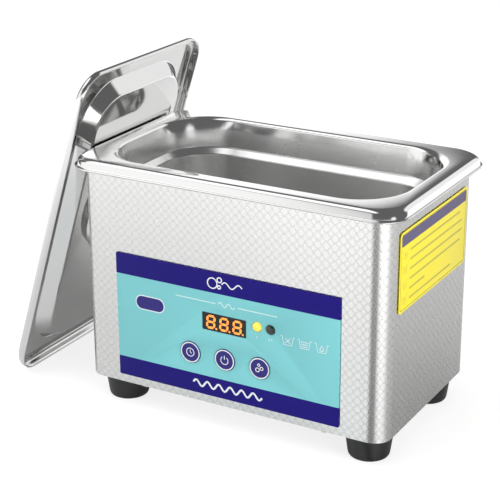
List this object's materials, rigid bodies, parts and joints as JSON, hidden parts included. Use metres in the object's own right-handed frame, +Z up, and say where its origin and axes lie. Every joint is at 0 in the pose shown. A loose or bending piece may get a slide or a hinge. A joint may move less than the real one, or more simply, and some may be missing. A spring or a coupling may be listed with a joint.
{
  "type": "ultrasonic cleaner",
  "caption": "Small bench-top ultrasonic cleaner with a steel tank, embossed steel housing, digital front panel, rubber feet and a lift-off lid leaning on its side.",
  "frame": {"origin": "centre of the bounding box of the cleaner and its leaning lid, on the surface they stand on", "axes": "+X along the front to the right as the user sees it, +Y from the front panel to the rear, +Z up"},
  "size_m": [0.2215, 0.1138, 0.1668],
  "materials": {
    "polished_steel": "polished",
    "embossed_steel": "embossed satin",
    "plated_steel": "zinc plated",
    "rubber": "matt",
    "panel_print": "printed film",
    "dark_acrylic": "gloss",
    "black_plastic": "matt",
    "lens_amber": "gloss",
    "lens_dark": "gloss",
    "key_blue": "semi gloss",
    "circuit_board": "solder mask",
    "brass": "satin",
    "aluminium": "machined",
    "piezo_ceramic": "fired",
    "ferrite": "matt",
    "film_red": "gloss",
    "sleeve_grey": "gloss",
    "copper": "enamelled wire",
    "ivory_plastic": "satin",
    "wire_red": "satin",
    "wire_black": "satin",
    "ribbon_grey": "satin",
    "label_yellow": "printed film"
  },
  "bodies": {
    "cleaner": {"base_screw_front_left": "plated_steel", "base_screw_front_right": "plated_steel", "base_screw_rear_left": "plated_steel", "base_screw_rear_right": "plated_steel", "base_strip_front": "plated_steel", "base_strip_rear": "plated_steel", "board_post_left": "brass", "board_post_right": "brass", "board_rail_front": "black_plastic", "board_rail_rear": "black_plastic", "bottom_plate": "plated_steel", "capacitor_film": "film_red", "capacitor_main": "sleeve_grey", "display_board": "circuit_board", "display_module": "black_plastic", "display_window": "dark_acrylic", "driver_board": "circuit_board", "electrode_plate": "brass", "foot_front_left": "rubber", "foot_front_right": "rubber", "foot_rear_left": "rubber", "foot_rear_right": "rubber", "foot_screw_front_left": "plated_steel", "foot_screw_front_right": "plated_steel", "foot_screw_rear_left": "plated_steel", "foot_screw_rear_right": "plated_steel", "front_overlay": "panel_print", "fuse_holder": "ivory_plastic", "heatsink": "aluminium", "housing_shell": "embossed_steel", "indicator_led_dark": "lens_dark", "indicator_led_lit": "lens_amber", "inductor": "copper", "inlet_pin_earth": "brass", "inlet_pin_live": "brass", "inlet_pin_neutral": "brass", "inlet_screw_left": "plated_steel", "inlet_screw_right": "plated_steel", "mains_harness": "wire_black", "piezo_ring_lower": "piezo_ceramic", "piezo_ring_upper": "piezo_ceramic", "power_inlet": "black_plastic", "ribbon_cable": "ribbon_grey", "rim_gasket": "rubber", "switch_degas": "black_plastic", "switch_power": "black_plastic", "switch_time": "black_plastic", "tank": "polished_steel", "transducer_back_mass": "plated_steel", "transducer_bolt": "plated_steel", "transducer_front_mass": "aluminium", "transducer_lead_live": "wire_red", "transducer_lead_return": "wire_black", "transformer": "ferrite", "warning_label": "label_yellow"},
    "lid": {"lid_shell": "polished_steel", "lid_handle": "polished_steel"},
    "key_time": {"key_time": "key_blue"},
    "key_power": {"key_power": "key_blue"},
    "key_degas": {"key_degas": "key_blue"}
  },
  "joints": [
    {"name": "lid_lift", "type": "slide", "parent": "cleaner", "child": "lid", "axis": [0, 0, 1], "range_m": [0, 0.135]},
    {"name": "key_time_press", "type": "slide", "parent": "cleaner", "child": "key_time", "axis": [0, 1, 0], "range_m": [0, 0.0005], "stiffness_N_per_m": 400},
    {"name": "key_power_press", "type": "slide", "parent": "cleaner", "child": "key_power", "axis": [0, 1, 0], "range_m": [0, 0.0005], "stiffness_N_per_m": 400},
    {"name": "key_degas_press", "type": "slide", "parent": "cleaner", "child": "key_degas", "axis": [0, 1, 0], "range_m": [0, 0.0005], "stiffness_N_per_m": 400}
  ]
}
